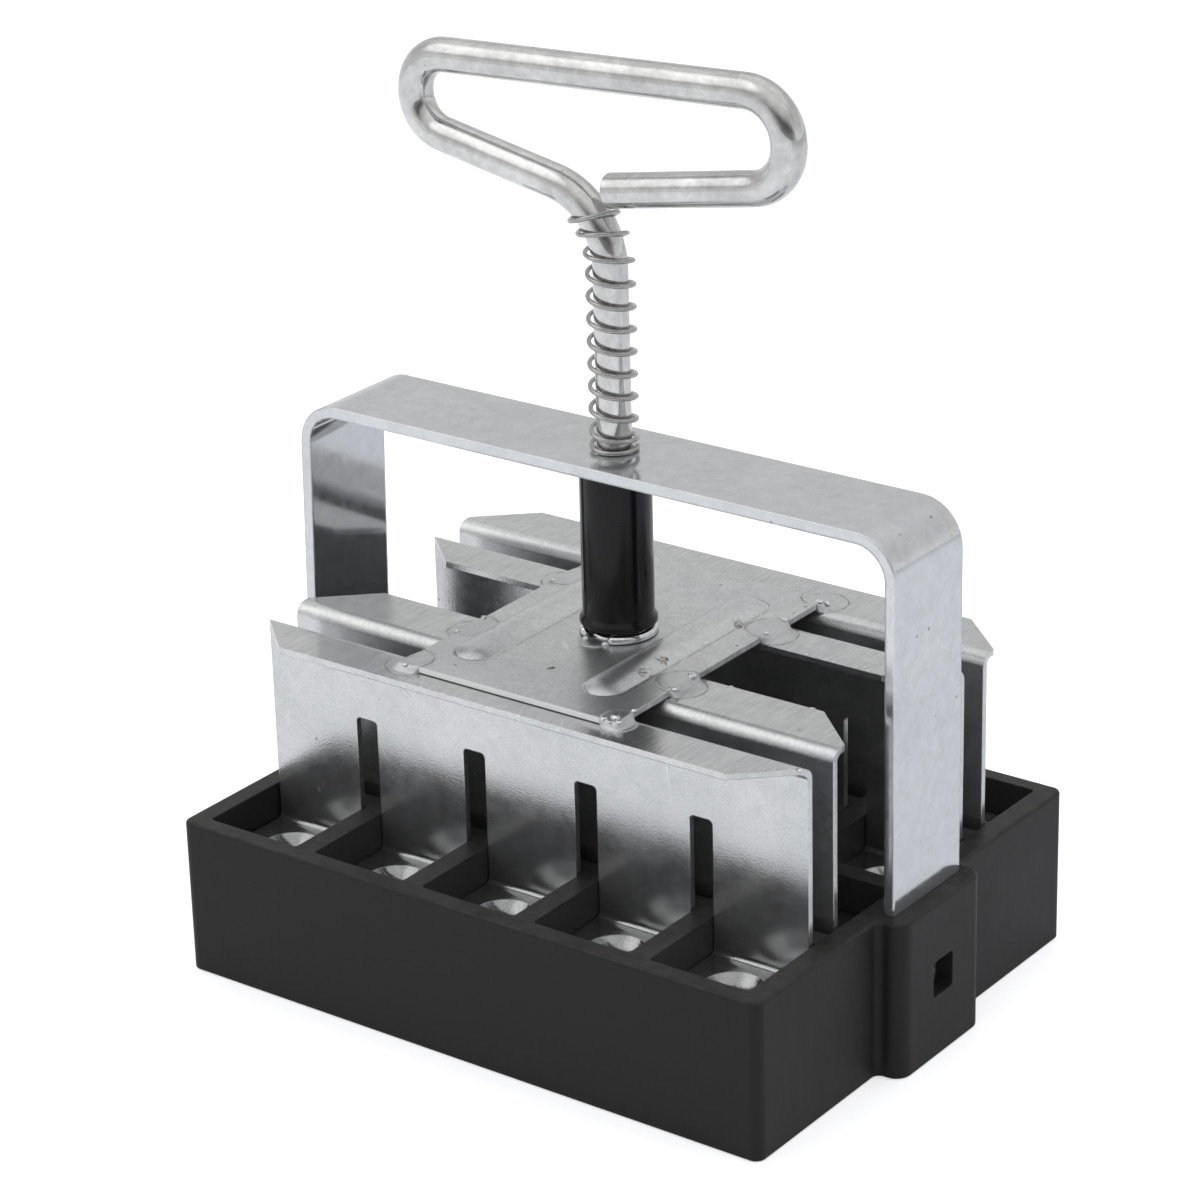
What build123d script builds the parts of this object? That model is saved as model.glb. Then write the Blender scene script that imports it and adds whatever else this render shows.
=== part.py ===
from build123d import *
import math
import os

os.makedirs("parts", exist_ok=True)

# Soil blocker: a twenty-cell mould, a strap across it, and a sprung plunger whose
# four press plates push the blocks out. Origin: underside of the mould, at its centre.
# X runs along the five cells, Y along the four rows (row 1 in front), Z up.

# ---------------------------------------------------------------- mould
columns = 5                # cells along X
rows = 4                   # cells along Y
cell = 20.0                # clear width of one cell, both ways
cross_wall = 4.2           # wall between two cells of a row
row_wall = 3.8             # wall between two rows
end_wall = 4.1             # outer wall on the short sides
side_wall = 3.4            # outer wall on the long sides
mould_height = 29.6
mould_corner = 2.0         # radius of the outer upright corners
cell_corner = 0.6          # radius of the cells' upright corners
rim_round = 0.6            # rounding of the outer top edge
foot_round = 0.4           # rounding of the outer bottom edge

# ---------------------------------------------------------------- strap and its lugs
strap_thick = 2.0
strap_width = 21.0
strap_top = 98.0           # upper face of the strap
strap_bend = 8.0           # outside radius of the strap's two bends
strap_lean = 1.6           # how far the left leg leans in between the rim and the top
strap_knee = 40.0          # radius of the slight bend where that lean starts
lug_reach = 5.0            # how far a lug stands out from the end wall
lug_skin = 3.2             # lug wall outside the strap leg
lug_cheek = 2.5            # lug wall beside the strap leg
lug_corner = 3.0
lug_blend = 1.4            # fillet between the lug and the end wall
leg_gap = 0.2              # clearance round the strap leg in its slot
slot_floor = 3.0           # height of the slot's closed end
window_width = 6.2
window_height = 6.8
window_middle = 15.2       # height of the window's centre
window_corner = 0.7
tongue_width = 3.6
tongue_length = 5.0
tongue_lean = 1.7          # how far the tongue's tip stands out of the leg
tongue_slit = 0.5          # cut round the tongue
leg_clip = 2.5             # corner cut at the end of each leg

# ---------------------------------------------------------------- plunger
travel = 17.5              # stroke of the plunger, downwards from rest
block_depth = 21.7         # free height under the feet at rest
press_top = 62.5           # upper face of the press plates' flanges
sheet = 1.2                # press plates and centre plate
sheet_bend = 2.4           # outside radius of the sheet's bends
short_flange = 10.5        # flange of rows 1 and 3, from the back of the web
long_flange = 12.7         # flange of rows 2 and 4
clip_along = 10.2          # corner cut of the flanges, along X
clip_across = 9.3          # corner cut of the flanges, along Y
short_web_gap = 0.3        # web to row wall in rows 1 and 3
long_web_gap = 2.2         # and in rows 2 and 4
end_gap = 0.4              # web to end wall
comb_gap = 0.25            # slots in the web to the cross walls
foot_gap = 0.4             # foot's free edge to the wall
stroke_spare = 0.6         # room left above the cross walls at full stroke
slot_round = 0.9           # rounded upper corners of the web's slots
foot_corner = 1.0
dimple_radius = 5.5        # seed dimple, at the foot's upper face
dimple_depth = 2.8

plate_length = 46.4        # centre plate along X
plate_shift = -0.6         # its middle from the rod's axis, along X
plate_width = 64.0         # centre plate along Y
plate_corner = 0.8
rib_length = 50.0
rib_width = 8.0
rib_rise = 1.1
rib_spread = 28.2          # distance between the two ribs
rib_shift = -1.2           # middle of the two ribs from the plate's middle

# ---------------------------------------------------------------- rod and handle
rod_diameter = 6.2
rod_hole_gap = 0.4         # rod to the edge of the strap's hole
neck_rise = 44.1           # neck corner above the strap
neck_bend = 14.0           # centre-line radii of the handle's four bends
left_bend = 7.0
right_bend = 8.1
left_reach = 41.0          # centre line of the grip's left end from the rod's axis
right_reach = 36.7
left_arm_rise = 8.1        # rise of the left arm from the neck to the left end
right_arm_rise = 6.2       # rise of the lower bar from its free end to the right end
free_end_rise = 2.4        # centre of the free end above the neck corner
free_end_shift = 0.5       # free end from the rod's axis
grip_left_rise = 20.9      # grip bar above the neck corner, at the left end
grip_right_rise = 24.1     # and at the right end

# ---------------------------------------------------------------- sleeve, spring, welds
sleeve_diameter = 12.8
sleeve_bore_gap = 0.1      # sleeve to rod
seat_gap = 0.1             # sleeve's ends, and the spring's foot, to what they rest on
lip_diameter = 13.9
lip_height = 0.9
bead_height = 2.0          # weld ring round the rod's foot
bead_radius = 6.7
bead_roll = 0.9            # how far the ring's side bulges
bead_break = 42.0          # angle of the gap in the ring, degrees
bead_break_depth = 1.2
puddle_radius = 2.5
puddle_height = 0.6
wire = 0.85
coil_radius = 4.0          # centre line of the coils
coil_turns = 11.5
coil_pitch = 4.05
end_pitch = 2.4            # rise of each end turn
end_turns = 1.5            # closer wound turns at the top
coil_tilt = 0.62           # share of the rod's lean that the top coils take
wire_gap_least = 0.4       # smallest clear gap allowed between turns
weld_radius = 3.0
weld_height = 2.0

# ---------------------------------------------------------------- worked-out places
mould_length = columns * cell + (columns - 1) * cross_wall + 2 * end_wall
mould_width = rows * cell + (rows - 1) * row_wall + 2 * side_wall
column_pitch = cell + cross_wall
row_pitch = cell + row_wall
column_middles = [(i - (columns - 1) / 2) * column_pitch for i in range(columns)]
row_middles = [(i - (rows - 1) / 2) * row_pitch for i in range(rows)]
cross_middles = [x + column_pitch / 2 for x in column_middles[:-1]]

strap_out = mould_length / 2 + lug_reach - lug_skin - leg_gap
strap_in = strap_out - strap_thick
strap_under = strap_top - strap_thick
lug_width = strap_width + 2 * leg_gap + 2 * lug_cheek
leg_end = slot_floor + leg_gap

plate_top = press_top + sheet
bead_top = plate_top + bead_height
rod_radius = rod_diameter / 2
neck_height = strap_top + neck_rise


# ---------------------------------------------------------------- mould
with BuildPart() as mould:
    with BuildSketch():
        RectangleRounded(mould_length, mould_width, mould_corner)
        Rectangle(mould_length + 2 * lug_reach, lug_width)
        lug_corners = vertices().filter_by_position(
            Axis.Y, -lug_width / 2, lug_width / 2).group_by(Axis.X)
        fillet(lug_corners[0] + lug_corners[-1], lug_corner)
        inner_corners = vertices().filter_by(
            lambda v: abs(abs(v.X) - mould_length / 2) < 0.01
            and abs(abs(v.Y) - lug_width / 2) < 0.01)
        fillet(inner_corners, lug_blend)
    extrude(amount=mould_height)
    fillet(edges().group_by(Axis.Z)[-1], rim_round)
    fillet(edges().group_by(Axis.Z)[0], foot_round)
    with BuildSketch():
        with Locations(*[(x, y) for x in column_middles for y in row_middles]):
            RectangleRounded(cell, cell, cell_corner)
    extrude(amount=mould_height, mode=Mode.SUBTRACT)
    with BuildSketch(Plane.XY.offset(slot_floor)):
        with Locations((strap_out - strap_thick / 2, 0), (strap_thick / 2 - strap_out, 0)):
            Rectangle(strap_thick + 2 * leg_gap, strap_width + 2 * leg_gap)
    extrude(amount=mould_height, mode=Mode.SUBTRACT)
    for side in (-1, 1):
        with BuildSketch(Plane.YZ.offset(side * strap_out)):
            with Locations((0, window_middle)):
                RectangleRounded(window_width, window_height, window_corner)
        extrude(amount=side * lug_reach, mode=Mode.SUBTRACT)
mould.part.label = "mould"

# ---------------------------------------------------------------- strap
tongue_foot = window_middle + window_height / 2 - leg_gap - tongue_length
with BuildPart() as strap:
    with BuildSketch(Plane.XZ):
        with BuildLine():
            FilletPolyline(
                (-strap_out, leg_end), (-strap_out, mould_height),
                (strap_lean - strap_out, strap_top), (strap_out, strap_top),
                (strap_out, leg_end), radius=[strap_knee, strap_bend, strap_bend])
            offset(amount=strap_thick, side=Side.RIGHT, closed=True)
        make_face()
    extrude(amount=strap_width / 2, both=True)
    chamfer(edges().filter_by(Axis.X).group_by(Axis.Z)[0], leg_clip)
    with Locations((0, 0, strap_top)):
        Hole(rod_radius + rod_hole_gap)
    for side in (-1, 1):
        with BuildSketch(Plane.YZ.offset(side * strap_in)):
            with Locations((0, tongue_foot + (tongue_length + tongue_slit) / 2)):
                Rectangle(tongue_width + 2 * tongue_slit, tongue_length + tongue_slit)
        extrude(amount=side * strap_thick, mode=Mode.SUBTRACT)
        with BuildSketch(Plane.XZ):
            with BuildLine():
                Polyline(
                    (side * strap_in, tongue_foot), (side * strap_out, tongue_foot),
                    (side * (strap_out + tongue_lean), tongue_foot + tongue_length),
                    (side * (strap_in + tongue_lean), tongue_foot + tongue_length),
                    close=True)
            make_face()
        extrude(amount=tongue_width / 2, both=True)
strap.part.label = "strap"

# ---------------------------------------------------------------- press plates
# Rows 1 and 3 have the web at the back of the row, rows 2 and 4 at the front.
press_rows = []
for i, row_middle in enumerate(row_middles):
    facing, web_gap, flange = (
        (1, long_web_gap, long_flange) if i % 2 else (-1, short_web_gap, short_flange))
    web_back = row_middle - facing * (cell / 2 - web_gap)
    press_rows.append((facing, web_back, flange, cell - web_gap - foot_gap))

web_half = mould_length / 2 - end_wall - end_gap
slot_width = cross_wall + 2 * comb_gap
slot_top = mould_height + travel + stroke_spare
dimple_ball = (dimple_radius ** 2 + dimple_depth ** 2) / (2 * dimple_depth)
dimple_centre = block_depth + sheet - dimple_depth + dimple_ball
dimple_latitude = -math.degrees(
    math.asin((dimple_centre - block_depth) / (dimple_ball + sheet)))

for number, (facing, web_back, flange, foot_reach) in enumerate(press_rows, start=1):
    flange_tip = web_back + facing * flange
    profile_plane = Plane(
        origin=(-web_half, web_back, 0), x_dir=(0, facing, 0), z_dir=(facing, 0, 0))
    with BuildPart() as press_plate:
        with BuildSketch(profile_plane):
            with BuildLine():
                Polyline(
                    (0, block_depth), (foot_reach, block_depth),
                    (foot_reach, block_depth + sheet), (sheet, block_depth + sheet),
                    (sheet, press_top - sheet), (flange, press_top - sheet),
                    (flange, press_top), (0, press_top), close=True)
            make_face()
            fillet(vertices().filter_by(lambda v: abs(v.X) < 0.01), sheet_bend)
            fillet(vertices().filter_by(lambda v: abs(v.X - sheet) < 0.01),
                   sheet_bend - sheet)
        extrude(amount=facing * 2 * web_half)
        with BuildSketch(Plane.XZ):
            with Locations(*[(x, block_depth - sheet) for x in cross_middles]):
                Rectangle(slot_width, slot_top - block_depth + sheet,
                          align=(Align.CENTER, Align.MIN))
            fillet(vertices().group_by(Axis.Y)[-1], slot_round)
        extrude(amount=mould_width, both=True, mode=Mode.SUBTRACT)
        foot_tips = edges().filter_by(Axis.Z).group_by(Axis.Y)[-1 if facing > 0 else 0]
        fillet(foot_tips, foot_corner)
        with BuildSketch(Plane.XY.offset(press_top - 2 * sheet_bend)):
            for side in (-1, 1):
                end = side * web_half
                with BuildLine():
                    Polyline(
                        (end, flange_tip - facing * clip_across), (end, flange_tip),
                        (end - side * clip_along, flange_tip), close=True)
                make_face()
        extrude(amount=3 * sheet_bend, mode=Mode.SUBTRACT)
        foot_middle = web_back + facing * foot_reach / 2
        dimples = [(x, foot_middle, dimple_centre) for x in column_middles]
        with Locations(*dimples):
            Sphere(dimple_ball + sheet, arc_size2=dimple_latitude, align=None)
        with Locations(*dimples):
            Sphere(dimple_ball, mode=Mode.SUBTRACT)
    press_plate.part.label = f"press_plate_{number}"
    export_step(press_plate.part, f"parts/press_plate_{number}.step")

# ---------------------------------------------------------------- centre plate
rib_ball = (rib_width ** 2 / 4 + rib_rise ** 2) / (2 * rib_rise)
rib_centre = plate_top + rib_rise - rib_ball
rib_end = (rib_length - rib_width) / 2
rib_middles = [plate_shift + rib_shift + side * rib_spread / 2 for side in (-1, 1)]
with BuildPart() as centre_plate:
    with BuildSketch(Plane.XY.offset(press_top)):
        with Locations((plate_shift, 0)):
            RectangleRounded(plate_length, plate_width, plate_corner)
    extrude(amount=sheet)
    # Each rib is a low dome over the sheet, hollow underneath by the sheet's thickness.
    for radius, mode in ((rib_ball, Mode.ADD), (rib_ball - sheet, Mode.SUBTRACT)):
        half_width = math.sqrt(radius ** 2 - (press_top - rib_centre) ** 2)
        latitude = math.degrees(math.asin((press_top - rib_centre) / radius))
        for x in rib_middles:
            with BuildSketch(Plane.XZ):
                with BuildLine():
                    ThreePointArc(
                        (x - half_width, press_top), (x, rib_centre + radius),
                        (x + half_width, press_top))
                    Line((x - half_width, press_top), (x + half_width, press_top))
                make_face()
            extrude(amount=rib_end, both=True, mode=mode)
            with Locations((x, -rib_end, rib_centre), (x, rib_end, rib_centre)):
                Sphere(radius, arc_size1=latitude, align=None, mode=mode)
centre_plate.part.label = "centre_plate"

# ---------------------------------------------------------------- handle rod
handle_points = [
    (0, plate_top),
    (0, neck_height),
    (-left_reach, neck_height + left_arm_rise),
    (-left_reach, neck_height + grip_left_rise),
    (right_reach, neck_height + grip_right_rise),
    (right_reach, neck_height + free_end_rise + right_arm_rise),
    (free_end_shift, neck_height + free_end_rise),
]
handle_bends = [neck_bend, left_bend, left_bend, right_bend, right_bend]
with BuildPart() as handle_rod:
    with BuildLine(Plane.XZ) as handle_path:
        FilletPolyline(*handle_points, radius=handle_bends)
    with BuildSketch(Plane.XY.offset(plate_top)):
        Circle(rod_radius)
    sweep(path=handle_path.line)
handle_rod.part.label = "handle_rod"

# ---------------------------------------------------------------- weld ring at the rod's foot
bead_side = bead_radius - bead_roll
with BuildPart() as rod_weld:
    with BuildSketch(Plane.XZ):
        with BuildLine():
            Polyline(
                (bead_side, plate_top), (rod_radius, plate_top),
                (rod_radius, bead_top), (bead_side, bead_top))
            ThreePointArc(
                (bead_side, bead_top), (bead_radius, (plate_top + bead_top) / 2),
                (bead_side, plate_top))
        make_face()
    revolve(axis=Axis.Z)
    with BuildSketch(Plane.XY.offset(bead_top - bead_break_depth)):
        with BuildLine():
            far = 3 * bead_radius
            reach = far * math.tan(math.radians(bead_break / 2))
            Polyline((0, 0), (-reach, -far), (reach, -far), close=True)
        make_face()
        Circle((rod_radius + bead_side) / 2, mode=Mode.SUBTRACT)
    extrude(amount=bead_height, mode=Mode.SUBTRACT)
    with BuildSketch(Plane.XY.offset(plate_top)):
        with Locations((0, -bead_radius)):
            Circle(puddle_radius)
        Circle(bead_side, mode=Mode.SUBTRACT)
    extrude(amount=puddle_height)
rod_weld.part.label = "rod_weld"

# ---------------------------------------------------------------- stop sleeve
sleeve_foot = bead_top + seat_gap
with BuildPart() as stop_sleeve:
    with BuildSketch(Plane.XZ):
        with BuildLine():
            Polyline(
                (rod_radius + sleeve_bore_gap, sleeve_foot),
                (lip_diameter / 2, sleeve_foot),
                (lip_diameter / 2, sleeve_foot + lip_height),
                (sleeve_diameter / 2, sleeve_foot + 2 * lip_height),
                (sleeve_diameter / 2, strap_under - seat_gap),
                (rod_radius + sleeve_bore_gap, strap_under - seat_gap), close=True)
        make_face()
        fillet(vertices().group_by(Axis.X)[-1], lip_height / 3)
    revolve(axis=Axis.Z)
stop_sleeve.part.label = "stop_sleeve"

# ---------------------------------------------------------------- welds of the centre plate
weld_ball = (weld_radius ** 2 + weld_height ** 2) / (2 * weld_height)
weld_centre = press_top + weld_height - weld_ball
weld_latitude = math.degrees(math.asin((press_top - weld_centre) / weld_ball))
weld_reach = plate_width / 2 - weld_radius / 2
weld_rows = []
for facing, web_back, flange, foot_reach in press_rows:
    flange_middle = web_back + facing * (flange + sheet_bend) / 2
    weld_rows.append(max(-weld_reach, min(weld_reach, flange_middle)))
with BuildPart() as plate_welds:
    with Locations(*[(plate_shift + side * plate_length / 2, y, weld_centre)
                     for side in (-1, 1) for y in weld_rows]):
        Sphere(weld_ball, arc_size1=weld_latitude, align=None)
    add(centre_plate.part, mode=Mode.SUBTRACT)
plate_welds.part.label = "plate_welds"

# ---------------------------------------------------------------- return spring
# The coils wind down to the right seen from the front. Above the rod's bend their
# centres follow the rod and their planes lean with it.
neck_lean = math.atan2(left_arm_rise, left_reach)
neck_turn = math.pi / 2 - neck_lean
bend_start = neck_height - neck_bend * math.tan(neck_turn / 2)
spring_foot = strap_top + wire / 2 + seat_gap


def coil_height(turn):
    """Height of the coil's centre above the first turn, closer wound at both ends."""
    close_turns = min(turn, 1) + max(0, turn - (coil_turns - end_turns))
    return end_pitch * close_turns + coil_pitch * (turn - close_turns)


def coil_point(turn):
    """Centre of the wire after that many turns from the strap."""
    height = spring_foot + coil_height(turn)
    above = min(max(height - bend_start, 0), neck_bend * math.sin(neck_turn))
    lean = math.asin(above / neck_bend)
    shift = neck_bend * (1 - math.cos(lean))
    angle = -math.pi / 2 - 2 * math.pi * turn
    across = coil_radius * math.cos(angle)
    return Vector(
        across * math.cos(coil_tilt * lean) - shift,
        coil_radius * math.sin(angle),
        height + across * math.sin(coil_tilt * lean))


def coil_direction(turn):
    """Unit tangent of the wire, along its winding."""
    step = 0.001
    return (coil_point(turn + step) - coil_point(turn - step)).normalized()


def biarc_middle(start, start_dir, end, end_dir):
    """Point where the two arcs of a biarc meet, and the direction there."""
    chord = end - start
    both = start_dir + end_dir
    square = 2 * (1 - start_dir.dot(end_dir))
    slant = chord.dot(both)
    reach = (math.sqrt(slant * slant + square * chord.dot(chord)) - slant) / square
    first_knee = start + start_dir * reach
    second_knee = end - end_dir * reach
    return (first_knee + second_knee) * 0.5, (second_knee - first_knee).normalized()


half_turns = round(2 * coil_turns)
spring_start = coil_point(0) - coil_direction(0) * wire
with BuildPart() as return_spring:
    with BuildLine() as spring_path:
        Line(spring_start, coil_point(0))
        for half in range(half_turns):
            start, end = coil_point(half / 2), coil_point((half + 1) / 2)
            start_dir, end_dir = coil_direction(half / 2), coil_direction((half + 1) / 2)
            middle, middle_dir = biarc_middle(start, start_dir, end, end_dir)
            TangentArc(start, middle, tangent=start_dir)
            TangentArc(middle, end, tangent=middle_dir)
        Line(coil_point(coil_turns), coil_point(coil_turns) + coil_direction(coil_turns) * wire)
    with BuildSketch(Plane(origin=spring_start, z_dir=coil_direction(0))):
        Circle(wire / 2)
    sweep(path=spring_path.line)
return_spring.part.label = "return_spring"

samples = 40
coil_points = [coil_point(i / samples) for i in range(round(coil_turns * samples) + 1)]
turn_gap = min(
    (coil_points[i] - coil_points[j]).length - wire
    for i in range(len(coil_points))
    for j in range(i + samples // 2, min(i + 2 * samples, len(coil_points))))
wire_length = sum(edge.length for edge in spring_path.line.edges())
print(f"spring: least gap between turns {turn_gap:.2f} mm, limit {wire_gap_least} mm")
print(f"spring: volume {return_spring.part.volume:.1f} mm3, "
      f"section times length {math.pi * wire ** 2 / 4 * wire_length:.1f} mm3")

# ---------------------------------------------------------------- files
for piece in (mould, strap, centre_plate, handle_rod, rod_weld, stop_sleeve,
              plate_welds, return_spring):
    export_step(piece.part, f"parts/{piece.part.label}.step")
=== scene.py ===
"""Soil blocker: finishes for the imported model, and the welds, coils and burrs it lacks.

A black moulded block of twenty cells carries a zinc plated strap. A sprung plunger of
four folded press plates, a centre plate and a bent handle rod slides through it.
Fields and tables hold millimetres, unless they say otherwise. Meshes and shader
coordinates are in metres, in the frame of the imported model.
"""

from __future__ import annotations

import logging
import math
from dataclasses import dataclass, replace
from enum import Enum

import bmesh
import bpy
from mathutils import Matrix, Vector, noise
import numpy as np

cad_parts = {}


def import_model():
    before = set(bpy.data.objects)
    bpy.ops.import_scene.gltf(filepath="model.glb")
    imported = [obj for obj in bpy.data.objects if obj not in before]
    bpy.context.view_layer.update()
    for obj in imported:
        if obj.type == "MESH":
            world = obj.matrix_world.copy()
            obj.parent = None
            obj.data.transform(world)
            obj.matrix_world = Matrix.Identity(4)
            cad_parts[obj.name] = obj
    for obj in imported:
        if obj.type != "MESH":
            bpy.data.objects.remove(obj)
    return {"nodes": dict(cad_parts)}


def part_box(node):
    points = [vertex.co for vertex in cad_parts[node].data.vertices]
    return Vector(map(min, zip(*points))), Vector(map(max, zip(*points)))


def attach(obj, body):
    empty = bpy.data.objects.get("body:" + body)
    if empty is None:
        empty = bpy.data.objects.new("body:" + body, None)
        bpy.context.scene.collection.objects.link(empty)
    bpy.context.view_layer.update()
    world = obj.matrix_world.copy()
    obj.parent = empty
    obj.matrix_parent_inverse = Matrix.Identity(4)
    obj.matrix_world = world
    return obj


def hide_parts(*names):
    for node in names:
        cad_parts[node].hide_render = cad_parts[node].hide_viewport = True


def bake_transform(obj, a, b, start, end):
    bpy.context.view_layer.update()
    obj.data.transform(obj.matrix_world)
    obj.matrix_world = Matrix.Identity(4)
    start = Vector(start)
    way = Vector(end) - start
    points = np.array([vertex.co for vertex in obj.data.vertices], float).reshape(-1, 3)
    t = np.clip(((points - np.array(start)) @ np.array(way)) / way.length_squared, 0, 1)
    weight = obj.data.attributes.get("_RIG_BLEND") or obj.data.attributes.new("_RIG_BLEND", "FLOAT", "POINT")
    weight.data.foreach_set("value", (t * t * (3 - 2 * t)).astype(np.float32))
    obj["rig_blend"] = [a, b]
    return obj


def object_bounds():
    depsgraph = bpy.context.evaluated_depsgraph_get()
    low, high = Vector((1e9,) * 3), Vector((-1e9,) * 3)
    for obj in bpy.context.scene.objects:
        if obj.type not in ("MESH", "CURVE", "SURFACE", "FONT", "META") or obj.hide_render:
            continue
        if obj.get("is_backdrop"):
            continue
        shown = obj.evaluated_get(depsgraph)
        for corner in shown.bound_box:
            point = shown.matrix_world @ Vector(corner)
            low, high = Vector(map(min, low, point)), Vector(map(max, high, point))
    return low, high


MM = 0.001
log = logging.getLogger("soil_blocker")

Socket = bpy.types.NodeSocket
Node = bpy.types.Node
Tree = bpy.types.NodeTree
Outputs = bpy.types.bpy_prop_collection
Material = bpy.types.Material
Piece = bpy.types.Object
Triple = tuple[float, float, float]
Feed = Socket | float | int | tuple


class Body(str, Enum):
    """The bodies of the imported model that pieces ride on."""

    FRAME = "frame"
    PLUNGER = "plunger"


class Slot(str, Enum):
    """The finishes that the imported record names."""

    SPRING = "spring_steel"
    WELD = "weld_metal"
    SHEET = "sheet_zinc"


class Graph:
    """A node tree with short calls for its nodes and links."""

    def __init__(self, tree: Tree) -> None:
        """Keeps the tree that every call adds to."""
        self.tree = tree

    def put(self, socket: Socket, value: Feed) -> None:
        """Links a socket, or sets it where the value is a number or a tuple.

        Args:
            socket: the input.
            value: another node's output, or the number or colour itself.
        """
        if isinstance(value, Socket):
            self.tree.links.new(value, socket)
        else:
            socket.default_value = value

    def add(self, kind: str, feeds: dict[str | int, Feed] | None = None,
            **settings: object) -> Node:
        """Adds a node.

        Args:
            kind: the node's type, without its ShaderNode prefix.
            feeds: values or links for its inputs, by name or by place.
            settings: properties of the node.

        Returns:
            The new node.
        """
        node = self.tree.nodes.new("ShaderNode" + kind)
        for name, setting in settings.items():
            setattr(node, name, setting)
        for name, value in (feeds or {}).items():
            self.put(node.inputs[name], value)
        return node

    def effect(self, group: Tree, **feeds: Feed) -> Outputs:
        """Places one of the shared effects.

        Args:
            group: the effect's node group.
            feeds: values or links for its inputs.

        Returns:
            The outputs of the group's node.
        """
        node = self.add("Group")
        node.node_tree = group
        for name, value in feeds.items():
            self.put(node.inputs[name], value)
        return node.outputs

    def math(self, operation: str, first: Feed, second: Feed = 0.0, third: Feed = 0.0,
             clamp: bool = False) -> Socket:
        """The result of a Math node."""
        return self.add("Math", {0: first, 1: second, 2: third},
                        operation=operation, use_clamp=clamp).outputs[0]

    def times(self, first: Feed, second: Feed) -> Socket:
        """One value times another."""
        return self.math("MULTIPLY", first, second)

    def minus(self, first: Feed, second: Feed) -> Socket:
        """One value less another."""
        return self.math("SUBTRACT", first, second)

    def vector(self, operation: str, first: Feed, second: Feed = (0, 0, 0)) -> Socket:
        """The result of a Vector Math node, a number where the operation gives one."""
        name = "Value" if operation in {"DISTANCE", "LENGTH", "DOT_PRODUCT"} else "Vector"
        return self.add("VectorMath", {0: first, 1: second}, operation=operation).outputs[name]

    def ramp(self, value: Feed, low: Feed, high: Feed, start: Feed = 0.0,
             end: Feed = 1.0, smooth: bool = True) -> Socket:
        """A value mapped from one range to another, and held at its ends.

        Args:
            value: the value.
            low: where the first range starts.
            high: where it ends.
            start: the result at its start.
            end: the result at its end.
            smooth: eased, or else in a straight line.

        Returns:
            The result's socket.
        """
        kind = "SMOOTHSTEP" if smooth else "LINEAR"
        feeds = {"Value": value, "From Min": low, "From Max": high, "To Min": start,
                 "To Max": end}
        return self.add("MapRange", feeds, interpolation_type=kind, clamp=True).outputs["Result"]

    def between(self, share: Feed, start: Feed, end: Feed) -> Socket:
        """The value that lies a share of the way from the start to the end."""
        return self.ramp(share, 0.0, 1.0, start, end, smooth=False)

    def mix(self, share: Feed, first: Feed, second: Feed) -> Socket:
        """The colour that lies a share of the way from the first to the second."""
        first, second = ((*c, 1) if isinstance(c, tuple) else c for c in (first, second))
        return self.add("Mix", {0: share, 6: first, 7: second}, data_type="RGBA").outputs[2]

    def mark(self, colour: Feed, mask: Feed, share: float, tint: Triple) -> Socket:
        """A colour with a share of a tint laid over it where the mask is."""
        return self.mix(self.times(mask, share), colour, tint)

    def grey(self, value: Feed) -> Socket:
        """A colour of three equal parts."""
        return self.add("CombineXYZ", {0: value, 1: value, 2: value}).outputs[0]

    def parts(self, vector: Feed) -> Outputs:
        """The three parts of a vector."""
        return self.add("SeparateXYZ", {"Vector": vector}).outputs

    def noise(self, coords: Feed, scale: Feed, detail: float = 2.0, rough: float = 0.5,
              distortion: float = 0.0) -> Socket:
        """The value of a Noise Texture."""
        feeds = {"Vector": coords, "Scale": scale, "Detail": detail, "Roughness": rough,
                 "Distortion": distortion}
        return self.add("TexNoise", feeds).outputs[0]

    def place(self, coords: Feed, scale: Triple = (1, 1, 1), shift: Triple = (0, 0, 0)
              ) -> Socket:
        """Coordinates stretched and then shifted."""
        feeds = {"Vector": coords, "Location": shift, "Scale": scale}
        return self.add("Mapping", feeds).outputs["Vector"]

    def rays(self) -> tuple[Socket, Socket]:
        """Sorts the rays that reach a surface.

        Returns:
            Masks of mirrored rays, and of rays from the camera or through clear matter.
        """
        path = self.add("LightPath").outputs
        clear = self.math("MAXIMUM", path["Is Camera Ray"], path["Is Transmission Ray"])
        return path["Is Glossy Ray"], clear

    def bump(self, height: Feed, distance: float, normal: Socket | None = None) -> Socket:
        """A normal tilted by a height.

        Args:
            height: the height, from 0 to 1.
            distance: what a height of 1 is.
            normal: the normal that it starts from.

        Returns:
            The normal's socket.
        """
        feeds = {"Height": height, "Distance": distance * MM, "Strength": 1.0}
        if normal is not None:
            feeds["Normal"] = normal
        return self.add("Bump", feeds).outputs["Normal"]


@dataclass(frozen=True)
class WeldPlace:
    """One spot weld: its place and size, how far it runs off the plate, and its beads."""

    x: float
    y: float
    radius: float = 4.4
    run: float = 3.0
    lumps: float = 0.04
    ringed: bool = True
    beads: tuple[Triple, ...] = ()


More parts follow.
